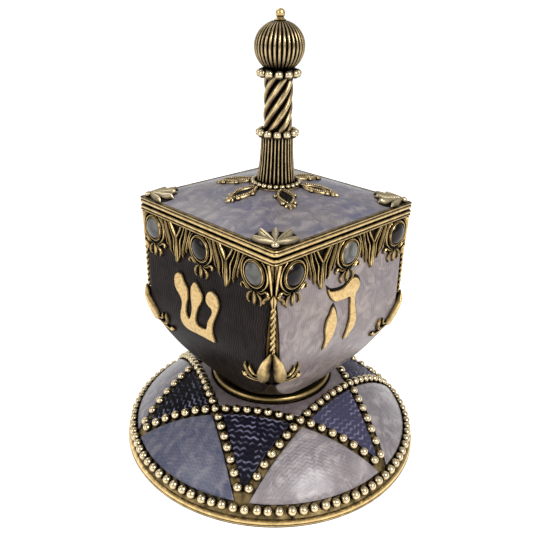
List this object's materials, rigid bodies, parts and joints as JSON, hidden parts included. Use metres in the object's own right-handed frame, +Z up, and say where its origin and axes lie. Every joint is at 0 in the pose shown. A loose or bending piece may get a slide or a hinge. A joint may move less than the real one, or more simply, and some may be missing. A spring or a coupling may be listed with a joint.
{
  "type": "dreidel",
  "caption": "Enamelled trinket dreidel with a lift-off lid and a tall fluted stem, spinning on its point in the cup of a beaded, star-patterned dome stand.",
  "frame": {"origin": "centre of the foot of the stand, on the surface that it stands on", "axes": "+Z up along the stem; the four faces of the dreidel look along -Y, +X, +Y and -X"},
  "size_m": [0.064, 0.064, 0.0885],
  "materials": {
    "antique_gold": "antiqued gold plate, polished on the high spots",
    "dark_gold": "gold plate under brown patina",
    "dark_enamel": "aubergine enamel over fine wavy engraving",
    "light_enamel": "pearly lavender enamel",
    "navy_enamel": "translucent navy enamel over zigzag engraving",
    "blue_enamel": "pearly periwinkle enamel",
    "mauve_enamel": "pearly mauve enamel",
    "dark_stone": "polished dark cabochon",
    "light_stone": "polished milky cabochon"
  },
  "bodies": {
    "stand": {"stand_base": "antique_gold", "stand_cup": "dark_gold", "enamel_star_points": "navy_enamel", "enamel_lobes": "blue_enamel", "enamel_centre": "mauve_enamel", "rim_beads": "antique_gold", "star_beads": "antique_gold"},
    "point": {"spin_point": "antique_gold"},
    "dreidel": {"box_shell": "dark_gold", "panel_shin": "dark_enamel", "panel_hei": "light_enamel", "panel_gimel": "dark_enamel", "panel_nun": "light_enamel", "rim_band": "antique_gold", "frieze_shin": "antique_gold", "frieze_hei": "antique_gold", "frieze_gimel": "antique_gold", "frieze_nun": "antique_gold", "bezels": "antique_gold", "dark_stones": "dark_stone", "light_stones": "light_stone", "corner_drops": "antique_gold", "corner_ropes": "antique_gold", "corner_pods": "antique_gold", "pod_scrolls": "antique_gold"},
    "lid": {"lid_plate": "antique_gold", "lid_enamel": "blue_enamel", "corner_leaves": "antique_gold", "petal_frames": "antique_gold", "petal_enamel": "navy_enamel", "foot_beads": "antique_gold", "fluted_column": "antique_gold", "lower_collar_beads": "antique_gold", "twisted_column": "antique_gold", "upper_collar_beads": "antique_gold", "fluted_globe": "antique_gold", "finial": "antique_gold", "stem_rod": "dark_gold", "stem_nut": "dark_gold"}
  },
  "joints": [
    {"name": "lift_out", "type": "slide", "parent": "stand", "child": "point", "axis": [0, 0, 1], "range_m": [0, 0.06]},
    {"name": "spin", "type": "hinge", "parent": "point", "child": "dreidel", "pos_m": [0, 0, 0.0162], "axis": [0, 0, 1], "continuous": true},
    {"name": "lid_lift", "type": "slide", "parent": "dreidel", "child": "lid", "axis": [0, 0, 1], "range_m": [0, 0.03]}
  ]
}
